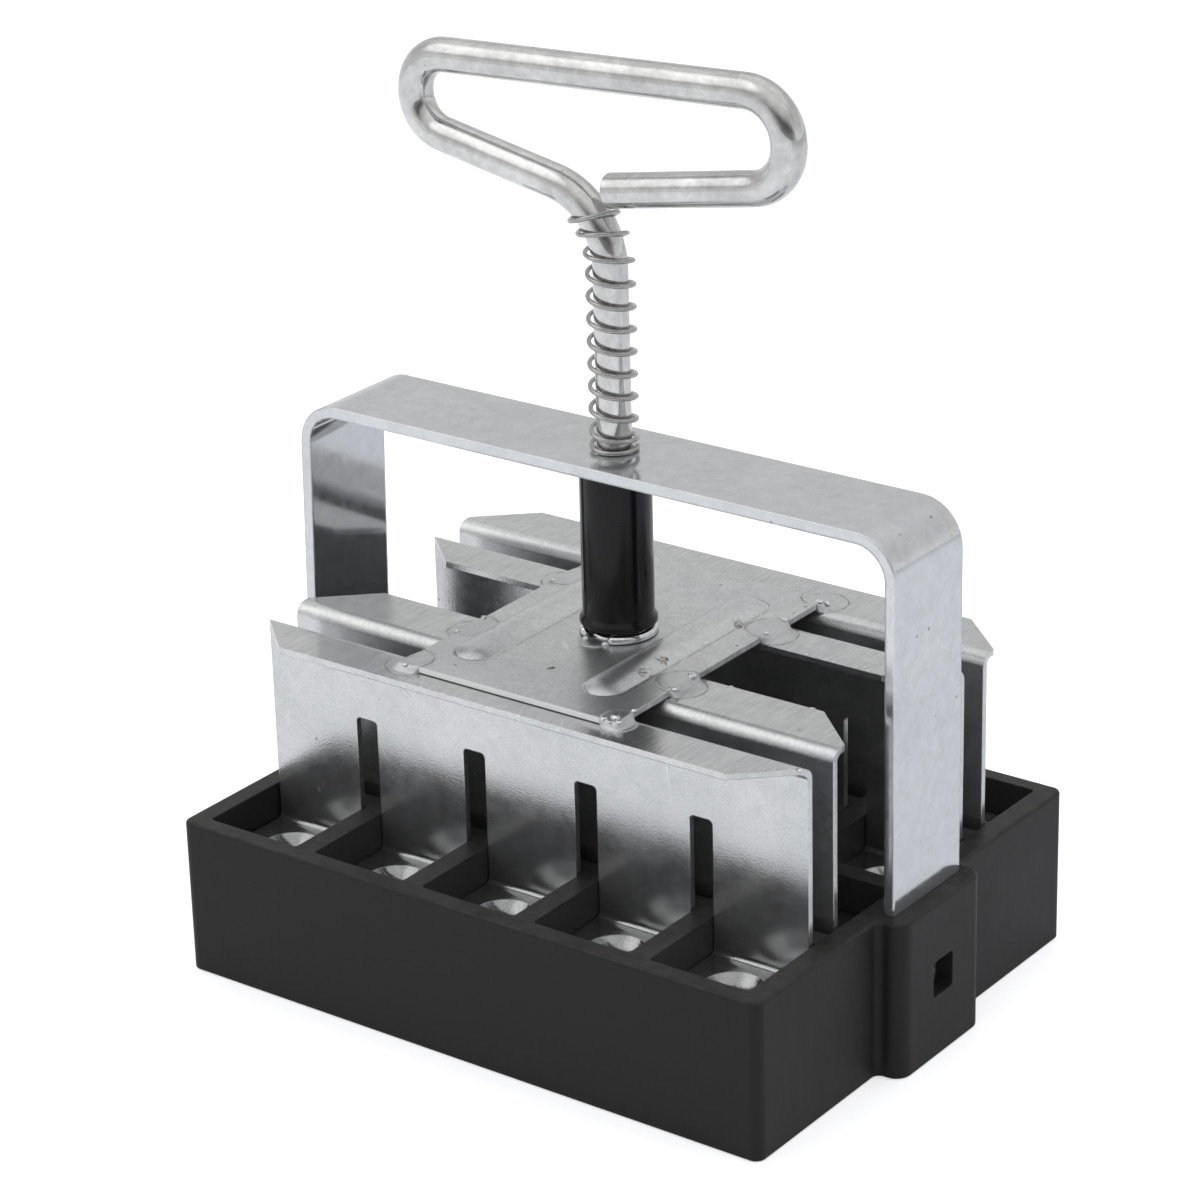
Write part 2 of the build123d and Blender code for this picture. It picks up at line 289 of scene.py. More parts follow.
WELDS = (
    WeldPlace(21.9, -30.2, 3.3, 1.6, 0.05, False, (
        (20.0, -31.9, 0.6), (22.4, -26.6, 0.55), (22.9, -31.6, 0.6), (21.6, -32.3, 0.45),
        (21.5, -30.6, 0.85))),
    WeldPlace(22.0, -12.1, beads=((22.4, -9.6, 0.8), (21.9, -9.2, 0.5),
                                  (22.9, -15.4, 0.62), (22.3, -15.9, 0.45))),
    WeldPlace(22.1, 15.5, 4.5, beads=((22.1, 19.6, 0.55), (21.5, 20.1, 0.6),
                                      (22.6, 12.9, 0.55))),
    WeldPlace(21.9, 32.6, 4.2, beads=((22.5, 30.1, 0.72), (23.6, 30.9, 0.75))),
    WeldPlace(-23.4, -30.0, 4.2, 2.0, 0.1, beads=((-22.6, -32.3, 0.55),)),
    WeldPlace(-23.3, -12.2, beads=((-23.7, -8.4, 0.5), (-23.8, -15.8, 0.5))),
    WeldPlace(-23.4, 15.4, 4.3, beads=((-23.8, 12.0, 0.5),)),
    WeldPlace(-23.2, 32.2, 4.2, beads=((-23.7, 29.6, 0.6),)),
)


@dataclass(frozen=True)
class Stain:
    """One mark on the centre plate: its centre and radius, and how dark it is."""

    x: float
    y: float
    radius: float
    depth: float


STAINS = (
    Stain(16.4, 13.6, 1.4, 0.8),
    Stain(15.0, -7.5, 1.3, 0.8),
    Stain(15.1, -13.6, 1.6, 0.7),
    Stain(0.1, -19.6, 0.55, 3.0),
    Stain(-0.4, -20.3, 0.35, 1.5),
    Stain(-8.0, 5.5, 0.8, 0.6),
)


@dataclass(frozen=True)
class CreaseShadeLines:
    """Painted shade: the dark lines round the centre plate's two ribs and round the foot of the rod."""

    rib_shift: float = 1.2
    rib_across: float = 14.1
    rib_straight: float = 21.0
    rib_radius: float = 4.05
    foot_radius: float = 6.85
    # how dark the painted shade round the rod's foot is
    foot_shade_depth: float = 1.3


class Effects:
    """The shader node groups that several finishes share, each built once."""

    mark_level: float = 61.5
    ring_sway: float = 0.9
    halo_width: float = 1.6

    def __init__(self) -> None:
        """Builds every group."""
        self.grain = self._grain()
        self.blotches = self._blotches()
        self.specks = self._specks()
        self.scratches = self._scratches()
        self.edges = self._edges()
        self.turned = self._turned()
        self.weld_rings = self._weld_rings()
        self.stains_and_crease_shade = self._stains_and_crease_shade()

    @staticmethod
    def _open(name: str, inputs: tuple[str, ...], outputs: tuple[str, ...]
              ) -> tuple[Graph, Outputs, Outputs]:
        """Starts a group.

        Args:
            name: the group's name.
            inputs: the names of its inputs.
            outputs: the names of its outputs.

        Returns:
            Its graph, what its input node gives and what its output node takes.
        """
        tree = bpy.data.node_groups.new(name, "ShaderNodeTree")
        for ways, labels in (("INPUT", inputs), ("OUTPUT", outputs)):
            for label in labels:
                kind = "Vector" if label in {"Vector", "Normal"} else "Float"
                tree.interface.new_socket(label, in_out=ways, socket_type="NodeSocket" + kind)
        start, end = tree.nodes.new("NodeGroupInput"), tree.nodes.new("NodeGroupOutput")
        return Graph(tree), start.outputs, end.inputs

    def _grain(self) -> Tree:
        """Fine even grain, such as stipple or brushing, as a height.

        Returns:
            The group.
        """
        graph, start, end = self._open("grain", ("Vector", "Scale"), ("Height",))
        graph.put(end["Height"], graph.noise(start["Vector"], start["Scale"], rough=0.6))
        return graph.tree

    def _blotches(self) -> Tree:
        """Soft patches with a set contrast, as on plated or handled metal.

        Returns:
            The group.
        """
        graph, start, end = self._open("blotches", ("Vector", "Scale", "Contrast"), ("Mask",))
        soft = graph.noise(start["Vector"], start["Scale"], detail=4.0, rough=0.6,
                           distortion=0.5)
        graph.put(end["Mask"], graph.math("MULTIPLY_ADD", graph.minus(soft, 0.5),
                                          start["Contrast"], 0.5, clamp=True))
        return graph.tree

    def _specks(self) -> Tree:
        """Small scattered dots, such as dust or pits: a share of the cells of a Voronoi.

        Returns:
            The group.
        """
        graph, start, end = self._open(
            "specks", ("Vector", "Scale", "Size", "Share"), ("Mask",))
        cells = graph.add("TexVoronoi", {"Vector": start["Vector"], "Scale": start["Scale"]})
        draw = graph.add("SeparateColor", {"Color": cells.outputs["Color"]}).outputs
        chosen = graph.math("LESS_THAN", draw[0], start["Share"])
        size = graph.times(start["Size"], draw[1])
        near = graph.ramp(cells.outputs["Distance"], graph.times(size, 0.5), size, 1.0, 0.0)
        graph.put(end["Mask"], graph.times(chosen, near))
        return graph.tree

    def _scratches(self) -> Tree:
        """Sparse fine lines: thin discs, each turned its own way, that the surface cuts.

        Returns:
            The group.
        """
        graph, start, end = self._open(
            "scratches", ("Vector", "Scale", "Width", "Share"), ("Mask",))
        cells = graph.add("TexVoronoi", {
            "Vector": start["Vector"], "Scale": start["Scale"]}).outputs
        draw = graph.add("TexWhiteNoise", {"Vector": cells["Position"]}).outputs["Value"]
        chosen = graph.math("LESS_THAN", draw, start["Share"])
        facing = graph.vector("NORMALIZE", graph.vector(
            "SUBTRACT", cells["Color"], (0.5, 0.5, 0.5)))
        offset = graph.vector("SUBTRACT", start["Vector"], cells["Position"])
        across = graph.math("ABSOLUTE", graph.vector("DOT_PRODUCT", offset, facing))
        away = graph.times(graph.vector("LENGTH", offset), start["Scale"])
        thin = graph.ramp(across, graph.times(start["Width"], 0.4), start["Width"], 1.0, 0.0)
        line = graph.times(graph.ramp(away, 0.25, 0.5, 1.0, 0.0), thin)
        graph.put(end["Mask"], graph.times(chosen, line))
        return graph.tree

    def _edges(self) -> Tree:
        """Rounded edges for the light to catch, and a mask of where they are.

        Returns:
            The group.
        """
        graph, start, end = self._open("edges", ("Radius",), ("Normal", "Mask"))
        rounded = graph.add("Bevel", {"Radius": start["Radius"]}, samples=6).outputs["Normal"]
        flat = graph.add("NewGeometry").outputs["Normal"]
        apart = graph.minus(1.0, graph.vector("DOT_PRODUCT", rounded, flat))
        graph.put(end["Normal"], rounded)
        graph.put(end["Mask"], graph.math("MULTIPLY", apart, 2.0, clamp=True))
        return graph.tree

    def _turned(self) -> Tree:
        """Masks of the faces that are bent, that are upright and that face the front.

        Returns:
            The group.
        """
        graph, _, end = self._open("turned", (), ("Bend", "Side", "Front"))
        normal = graph.add("NewGeometry").outputs["Normal"]
        toward = graph.vector("DOT_PRODUCT", normal, (0, -1, 0))
        graph.put(end["Front"], graph.ramp(toward, 0.5, 0.9))
        parts = graph.parts(graph.vector("ABSOLUTE", normal))
        most = graph.math("MAXIMUM", graph.math("MAXIMUM", parts[0], parts[1]), parts[2])
        graph.put(end["Bend"], graph.ramp(most, 0.9995, 0.98))
        graph.put(end["Side"], graph.ramp(parts[2], 0.6, 0.2))
        return graph.tree

    def _weld_rings(self) -> Tree:
        """The thin dark line round each spot weld, and the scorched skin just outside it.

        Returns:
            The group.
        """
        graph, start, end = self._open("weld_rings", ("Vector",), ("Line", "Halo"))
        wobble = graph.noise(start["Vector"], scale=260.0)
        sway = self.ring_sway * MM
        drift = graph.math("MULTIPLY_ADD", wobble, sway, -sway / 2)
        flat = graph.vector("MULTIPLY", start["Vector"], (1, 1, 0))
        nearest: Feed = 1.0
        for weld in (weld for weld in WELDS if weld.ringed):
            away = graph.vector("DISTANCE", flat, (weld.x * MM, weld.y * MM, 0))
            nearest = graph.math("MINIMUM", nearest, graph.minus(away, weld.radius * MM))
        away = graph.math("ADD", nearest, drift)
        height = graph.parts(start["Vector"])[2]
        on_top = graph.math("GREATER_THAN", height, self.mark_level * MM)
        line = graph.ramp(graph.math("ABSOLUTE", graph.minus(away, 0.15 * MM)),
                          0.04 * MM, 0.2 * MM, 1.0, 0.0)
        faint = graph.ramp(graph.noise(start["Vector"], scale=420.0), 0.35, 0.6)
        halo = graph.ramp(away, 0.0, self.halo_width * MM, 1.0, 0.0)
        graph.put(end["Line"], graph.times(graph.times(line, faint), on_top))
        graph.put(end["Halo"], graph.times(halo, on_top))
        return graph.tree

    def _stains_and_crease_shade(self) -> Tree:
        """The small dark marks on the centre plate, and painted shade in the creases round its forms.

        Returns:
            The group.
        """
        graph, start, end = self._open("stains_and_crease_shade", ("Vector",), ("Mask", "CreaseShade"))
        flat = graph.vector("MULTIPLY", start["Vector"], (1, 1, 0))
        wobble = graph.noise(start["Vector"], scale=900.0, detail=3.0)
        lines = graph.minus(graph.noise(start["Vector"], scale=1100.0), 0.5)
        lines = graph.math("ABSOLUTE", lines)
        lines = graph.ramp(lines, 0.02, 0.09, 1.0, 0.3)
        mask: Feed = 0.0
        for stain in STAINS:
            size = stain.radius * MM
            away = graph.vector("DISTANCE", flat, (stain.x * MM, stain.y * MM, 0))
            away = graph.math("MULTIPLY_ADD", graph.minus(wobble, 0.5), 3.0 * size, away)
            near = graph.ramp(away, 0.55 * size, size, stain.depth, 0.0)
            mask = graph.math("MAXIMUM", mask, near)
        graph.put(end["Mask"], graph.times(mask, lines))
        form = CreaseShadeLines()
        away = graph.parts(graph.vector("ABSOLUTE", graph.place(
            start["Vector"], shift=(form.rib_shift * MM, 0, 0))))
        across = graph.minus(away[0], form.rib_across * MM)
        beyond = graph.math("MAXIMUM", graph.minus(away[1], form.rib_straight * MM), 0.0)
        spread = graph.add("CombineXYZ", {0: across, 1: beyond}).outputs[0]
        off = graph.minus(graph.vector("LENGTH", spread), form.rib_radius * MM)
        # Painted shade: a thin broken dark line along the creases round the two ribs.
        rib_shade = graph.ramp(graph.math("ABSOLUTE", off), 0.05 * MM, 0.22 * MM, 1.0, 0.0)
        rib_shade = graph.times(rib_shade, graph.ramp(wobble, 0.4, 0.55, 0.3, 1.0))
        # Painted shade: a dark ring in the creases round the foot of the rod.
        off = graph.minus(graph.vector("LENGTH", flat), form.foot_radius * MM)
        foot = graph.ramp(graph.math("ABSOLUTE", off), 0.08 * MM, 0.3 * MM,
                          form.foot_shade_depth, 0.0)
        graph.put(end["CreaseShade"], graph.math("MAXIMUM", rib_shade, foot))
        return graph.tree


class Surface(Graph):
    """A material on object coordinates, with short calls for the shared effects."""

    def __init__(self, name: str, effects: Effects | None = None) -> None:
        """Starts the material.

        Args:
            name: its name.
            effects: the shared node groups, where it takes any.
        """
        self.material = bpy.data.materials.new(name)
        self.material.use_nodes = True
        super().__init__(self.material.node_tree)
        self.effects = effects
        self.inputs = self.tree.nodes["Principled BSDF"].inputs
        self.coords = self.add("TexCoord").outputs["Object"]

    def grain(self, scale: float, stretch: Triple | None = None) -> Socket:
        """The height of an even grain, stretched where that is asked for."""
        coords = self.place(self.coords, stretch) if stretch else self.coords
        return self.effect(self.effects.grain, Vector=coords, Scale=scale)["Height"]

    def blotches(self, scale: float, contrast: float) -> Socket:
        """A mask of soft patches."""
        return self.effect(self.effects.blotches, Vector=self.coords, Scale=scale,
                           Contrast=contrast)["Mask"]

    def specks(self, scale: float, size: float, share: float) -> Socket:
        """A mask of small dots."""
        return self.effect(self.effects.specks, Vector=self.coords, Scale=scale, Size=size,
                           Share=share)["Mask"]

    def scratches(self, scale: float, width: float, share: float) -> Socket:
        """A mask of fine lines."""
        return self.effect(self.effects.scratches, Vector=self.coords, Scale=scale,
                           Width=width * MM, Share=share)["Mask"]

    def finish(self, colour: Feed, roughness: Feed, normal: Feed) -> Material:
        """Feeds the shader.

        Args:
            colour: its base colour.
            roughness: its roughness.
            normal: its normal.

        Returns:
            The material.
        """
        self.put(self.inputs["Base Color"], colour)
        self.put(self.inputs["Roughness"], roughness)
        self.put(self.inputs["Normal"], normal)
        return self.material


@dataclass(frozen=True)
class ZincFinish:
    """Zinc plated steel: a bright skin with blue-grey patches, fine grain and marks, and some painted light
    and shade.

    Scales are the textures' own. Shares, tints, metallic and roughness go from 0 to 1.
    """

    name: str
    bright: Triple = (0.675, 0.675, 0.67)
    dull: Triple = (0.58, 0.592, 0.6)
    scratched: Triple = (0.85, 0.86, 0.87)
    pitted: Triple = (0.16, 0.155, 0.15)
    # painted highlight: pale tint for the rounded edges
    edge_highlight_tone: Triple = (0.82, 0.83, 0.84)
    torn: Triple = (0.2, 0.2, 0.2)
    scorched: Triple = (0.38, 0.39, 0.40)
    ring: Triple = (0.13, 0.12, 0.11)
    # painted shade for the creases round the plate's ribs and the rod's foot
    crease_shade: Triple = (0.2, 0.2, 0.2)
    stain: Triple = (0.06, 0.032, 0.014)
    sheared_dark: Triple = (0.34, 0.34, 0.34)
    sheared_light: Triple = (0.66, 0.67, 0.66)
    # painted highlight: near white for edge faces turned to the front
    front_edge_highlight: Triple = (1.0, 1.0, 0.98)
    # painted shadow: near black for the gap under the centre plate's edge
    gap_shadow: Triple = (0.01, 0.01, 0.01)
    metallic: float = 0.88
    patch_scale: float = 38.0
    patch_contrast: float = 1.8
    smooth: float = 0.13
    rough: float = 0.21
    grain_scale: float = 2600.0
    grain_stretch: Triple = (1.0, 0.07, 1.0)
    grain_height: float = 0.02
    grain_tint: float = 0.13
    wave_scale: float = 120.0
    wave_height: float = 0.02
    edge_radius: float = 0.25
    # share of the painted edge highlight
    edge_highlight_share: float = 0.35
    ragged: float = 0.5
    mottle_finer: float = 9.0
    mottle_contrast: float = 2.6
    scratch_scale: float = 160.0
    scratch_width: float = 0.07
    scratch_share: float = 0.16
    pit_scale: float = 330.0
    pit_size: float = 0.17
    pit_share: float = 0.05
    bend_rough: float = 0.0
    side_metallic: float | None = None
    # painted shade: how dark the plates get towards their feet, deep in the mould's cells
    foot_shade_tone: float | None = None
    foot_low: float = 20.0
    foot_high: float = 34.0
    foot_shine: float = -0.07
    # height and half width of the painted gap shadow along the plate's lower edge
    gap_shadow_height: float = 0.0
    gap_shadow_half: float = 0.06
    welded: bool = False
    # adds the dark stain marks, and painted shade in the plate's creases
    stained_and_crease_shaded: bool = False

    def material(self, effects: Effects) -> Material:
        """Builds the finish.

        Args:
            effects: the shared node groups.

        Returns:
            The material.
        """
        surface = Surface(self.name, effects)
        patches = surface.blotches(self.patch_scale, self.patch_contrast)
        mottle = surface.blotches(self.patch_scale * self.mottle_finer, self.mottle_contrast)
        grain = surface.grain(self.grain_scale, self.grain_stretch)
        scratches = surface.scratches(self.scratch_scale, self.scratch_width,
                                      self.scratch_share)
        pits = surface.specks(self.pit_scale, self.pit_size, self.pit_share)
        edges = surface.effect(effects.edges, Radius=self.edge_radius * MM)
        turned = surface.effect(effects.turned)
        height = surface.parts(surface.coords)[2]
        colour = self._plating(surface, patches, mottle, grain)
        colour = surface.mark(colour, scratches, 0.6, self.scratched)
        colour = surface.mark(colour, pits, 0.6, self.pitted)
        colour = self._marked(surface, colour, edges["Mask"])
        above_foot: Feed = 1.0
        # Painted shade: the colour darkens towards the feet, deep in the mould's cells.
        if self.foot_shade_tone is not None:
            above_foot = surface.ramp(height, self.foot_low * MM, self.foot_high * MM)
            tone = surface.between(above_foot, self.foot_shade_tone, 1.0)
            colour = surface.vector("MULTIPLY", colour, surface.grey(tone))
        surface.inputs["Metallic"].default_value = self.metallic
        if self.side_metallic is not None:
            sheared = surface.mix(mottle, self.sheared_dark, self.sheared_light)
            # Painted highlight: edge faces turned to the front are painted near white; the other edge faces
            # keep the sheared mottle.
            sheared = surface.mix(turned["Front"], sheared, self.front_edge_highlight)
            colour = surface.mix(turned["Side"], colour, sheared)
            surface.put(surface.inputs["Metallic"], surface.between(
                turned["Side"], self.metallic, self.side_metallic))
        # Painted shadow: the lowest strip of the edge faces is painted near black, for the gap's shadow
        # under the plate.
        if self.gap_shadow_height:
            gap_shadow_mask = surface.ramp(height, (self.gap_shadow_height - self.gap_shadow_half) * MM,
                                 (self.gap_shadow_height + self.gap_shadow_half) * MM, 1.0, 0.0)
            colour = surface.mix(gap_shadow_mask, colour, self.gap_shadow)
        roughness = surface.between(patches, self.rough, self.smooth)
        roughness = surface.math("MULTIPLY_ADD", mottle, 0.05, roughness)
        roughness = surface.math("MULTIPLY_ADD", pits, 0.3, roughness)
        if self.bend_rough:
            bend = surface.times(turned["Bend"], above_foot)
            roughness = surface.math("MULTIPLY_ADD", bend, self.bend_rough, roughness)
            foot = surface.minus(1.0, above_foot)
            roughness = surface.math("MULTIPLY_ADD", foot, self.foot_shine, roughness)
        normal = surface.bump(surface.grain(self.wave_scale), self.wave_height, edges["Normal"])
        normal = surface.bump(grain, self.grain_height, normal)
        return surface.finish(colour, roughness, normal)

    def _plating(self, surface: Surface, patches: Socket, mottle: Socket, grain: Socket
                 ) -> Socket:
        """The plating's own colour, before its marks.

        Args:
            surface: the material so far.
            patches: the mask of the large patches.
            mottle: the mask of the small ones.
            grain: the grain's height.

        Returns:
            The colour.
        """
        colour = surface.mix(patches, self.dull, self.bright)
        streaks = surface.ramp(grain, 0.25, 0.75, 1 - self.grain_tint, 1 + self.grain_tint,
                               smooth=False)
        tone = surface.times(surface.between(mottle, 0.93, 1.05), streaks)
        return surface.vector("MULTIPLY", colour, surface.grey(tone))

    def _marked(self, surface: Surface, colour: Socket, edge: Socket) -> Socket:
        """Adds painted highlights and torn marks on its edges, and the welds' rings, dark stain marks and
        painted shade in creases where it has them.

        Args:
            surface: the material so far.
            colour: its colour so far.
            edge: the mask of its edges, for the painted highlight and the torn marks.

        Returns:
            The colour.
        """
        # Painted highlight: a pale tint laid along the rounded edges.
        colour = surface.mark(colour, edge, self.edge_highlight_share, self.edge_highlight_tone)
        torn = surface.noise(surface.coords, scale=800.0, detail=3.0)
        torn = surface.ramp(torn, 0.52, 0.62)
        colour = surface.mark(colour, surface.times(torn, edge), self.ragged, self.torn)
        if self.welded:
            rings = surface.effect(surface.effects.weld_rings, Vector=surface.coords)
            colour = surface.mark(colour, rings["Halo"], 0.15, self.scorched)
            colour = surface.mark(colour, rings["Line"], 0.8, self.ring)
        if self.stained_and_crease_shaded:
            marks = surface.effect(surface.effects.stains_and_crease_shade, Vector=surface.coords)
            # Painted shade in the creases, then the dark stain marks.
            colour = surface.mark(colour, marks["CreaseShade"], 0.7, self.crease_shade)
            colour = surface.mix(marks["Mask"], colour, self.stain)
        return colour


@dataclass(frozen=True)
class MouldPlastic:
    """Satin black moulded plastic with a little dust, greyer on its rim from wear and painted light."""

    name: str = "mould_black"
    rim_height: float = 29.6
    inner_half: tuple[float, float] = (58.6, 45.9)
    dark: Triple = (0.0143, 0.014, 0.0137)
    light: Triple = (0.0175, 0.017, 0.0166)
    # painted light: paler colour for the walls within the cells, as fill in their shade
    cell_fill_light: Triple = (0.05, 0.048, 0.046)
    # rim colours: partly wear, partly painted light on the top faces
    rim_dark: Triple = (0.024, 0.023, 0.022)
    rim_light: Triple = (0.046, 0.043, 0.040)
    # partly wear, partly painted highlight: paler tint for the rounded edges
    edge: Triple = (0.045, 0.045, 0.044)
    dusty: Triple = (0.16, 0.16, 0.155)
    edge_radius: float = 0.3
    specular: float = 0.2

    def material(self, effects: Effects) -> Material:
        """Builds the finish.

        Args:
            effects: the shared node groups.

        Returns:
            The material.
        """
        surface = Surface(self.name, effects)
        patches = surface.blotches(scale=45.0, contrast=2.0)
        peel = surface.grain(scale=1500.0)
        drag = surface.grain(scale=700.0, stretch=(1, 1, 0.12))
        edges = surface.effect(effects.edges, Radius=self.edge_radius * MM)
        # Partly wear, partly painted light: the top faces get a paler, mottled colour.
        rim = surface.ramp(surface.parts(surface.coords)[2], (self.rim_height - 0.5) * MM,
                           (self.rim_height - 0.1) * MM)
        rim = surface.times(rim, surface.ramp(patches, 0, 1, 0.55, 1.0))
        fine = surface.blotches(scale=380.0, contrast=3.0)
        rim_worn_and_lit = surface.mix(fine, self.rim_dark, self.rim_light)
        reach = surface.parts(surface.vector("ABSOLUTE", surface.vector(
            "DIVIDE", surface.coords, (*(half * MM for half in self.inner_half), 1))))
        inner = surface.ramp(surface.math("MAXIMUM", reach[0], reach[1]), 0.99, 1.0, 1.0, 0.0)
        colour = surface.mix(patches, self.dark, self.light)
        # Painted light: the walls within the cells are paler than the outside, standing in for fill light in
        # their shade.
        colour = surface.mix(inner, colour, self.cell_fill_light)
        colour = surface.mix(rim, colour, rim_worn_and_lit)
        # Partly wear, partly painted highlight: a paler tint along the rounded edges.
        colour = surface.mark(colour, edges["Mask"], 0.5, self.edge)
        dust = surface.specks(scale=150.0, size=0.16, share=0.07)
        colour = surface.mark(colour, dust, 0.7, self.dusty)
        roughness = surface.between(patches, 0.40, 0.50)
        roughness = surface.math("MULTIPLY_ADD", drag, 0.06, roughness)
        normal = surface.bump(drag, 0.008, surface.bump(peel, 0.006, edges["Normal"]))
        surface.inputs["Specular IOR Level"].default_value = self.specular
        return surface.finish(colour, roughness, normal)


@dataclass(frozen=True)
class SleevePlastic:
    """Gloss black plastic tube with faint lengthwise drawing lines and hairline marks."""

    name: str = "sleeve_black"
    dark: Triple = (0.0055, 0.0055, 0.006)
    light: Triple = (0.009, 0.009, 0.0095)
    dusty: Triple = (0.12, 0.12, 0.12)
    specular: float = 0.24

    def material(self, effects: Effects) -> Material:
        """Builds the finish.

        Args:
            effects: the shared node groups.

        Returns:
            The material.
        """
        surface = Surface(self.name, effects)
        lines = surface.grain(scale=900.0, stretch=(1, 1, 0.03))
        colour = surface.mix(lines, self.dark, self.light)
        dust = surface.specks(scale=300.0, size=0.14, share=0.05)
        colour = surface.mark(colour, dust, 0.6, self.dusty)
        roughness = surface.ramp(lines, 0.3, 0.7, 0.13, 0.2)
        hairlines = surface.scratches(scale=140.0, width=0.06, share=0.3)
        roughness = surface.math("MULTIPLY_ADD", hairlines, 0.2, roughness)
        surface.inputs["Specular IOR Level"].default_value = self.specular
        return surface.finish(colour, roughness, surface.bump(lines, 0.006))


def dress(nodes: dict[str, Piece], names: tuple[str, ...], material: Material) -> None:
    """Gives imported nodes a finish.

    Args:
        nodes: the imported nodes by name.
        names: which of them.
        material: the finish.
    """
    for name in names:
        for slot in nodes[name].material_slots:
            slot.material = material
        log.info("dressed %s in %s", name, material.name)


def finish_piece(bm: bmesh.types.BMesh, name: str, material: Material, body: Body | None) -> Piece:
    """Makes a mesh into a piece that rides on a body.

    Args:
        bm: the mesh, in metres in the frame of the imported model.
        name: the piece's name.
        material: its finish.
        body: what it rides on, or None where it bends between two bodies.

    Returns:
        The piece.
    """
    bmesh.ops.recalc_face_normals(bm, faces=bm.faces)
    mesh = bpy.data.meshes.new(name)
    bm.to_mesh(mesh)
    bm.free()
    mesh.shade_smooth()
    mesh.materials.append(material)
    piece = bpy.data.objects.new(name, mesh)
    bpy.context.scene.collection.objects.link(piece)
    if body is not None:
        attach(piece, body.value)
    log.info("built %s, %d faces", name, len(mesh.polygons))
    return piece


def smooth_step(value: float) -> float:
    """A value held between 0 and 1 and eased."""
    held = min(max(value, 0.0), 1.0)
    return held * held * (3 - 2 * held)


@dataclass
class Lump:
    """A frozen drop of metal: a ball that noise and a stretch have changed."""

    detail: int
    wave: float
    pace: float
    seed: Triple
    stretch: Triple

    def build(self, bm: bmesh.types.BMesh, centre: Triple, radius: float) -> None:
        """Adds the drop to a mesh.

        Args:
            bm: the mesh.
            centre: the drop's centre.
            radius: the ball's radius.
        """
        spot = Matrix.Translation(Vector(centre) * MM)
        made = bmesh.ops.create_icosphere(bm, subdivisions=self.detail, radius=radius * MM,
                                          matrix=spot)
        for vert in made["verts"]:
            local = vert.co - spot.translation
            lift = noise.noise(vert.co / MM * self.pace + Vector(self.seed))
            local *= 1 + self.wave * lift
            vert.co = spot.translation + local * Vector(self.stretch)


